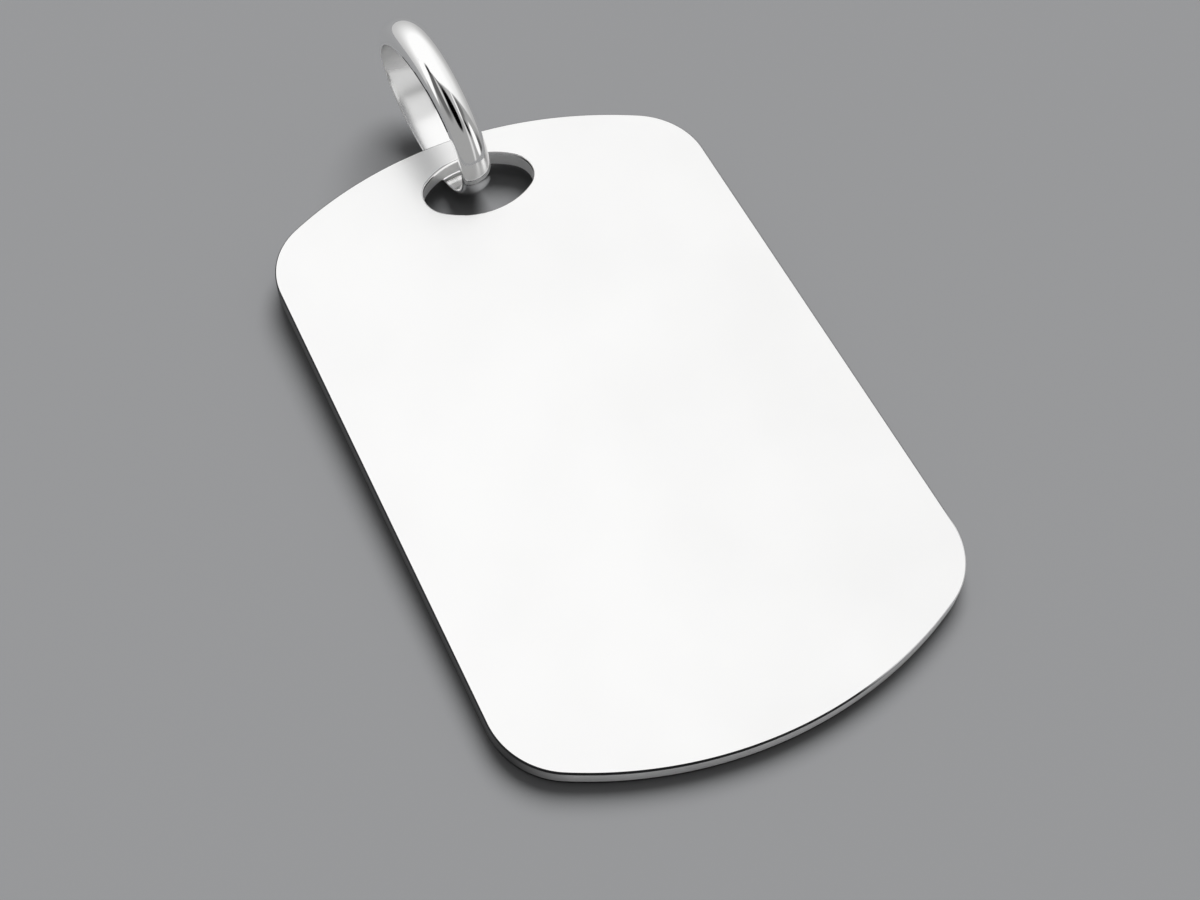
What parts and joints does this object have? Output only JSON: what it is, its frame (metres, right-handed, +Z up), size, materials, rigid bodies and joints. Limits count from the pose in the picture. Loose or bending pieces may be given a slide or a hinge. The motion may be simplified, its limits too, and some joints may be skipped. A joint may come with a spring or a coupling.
{
  "type": "rectangular pendant",
  "caption": "Plain polished silver tag pendant: a flat plate with arched ends and an oval hole, hung on an oval bail.",
  "frame": {"origin": "centre of the pendant's outline, on the surface that it lies on", "axes": "+X across the plate, +Y along the plate towards the hole and the bail, +Z up from the surface"},
  "size_m": [0.024, 0.0432, 0.0074],
  "materials": {
    "silver": "polished"
  },
  "bodies": {
    "root": {"tag": "silver", "bail": "silver"}
  },
  "joints": []
}
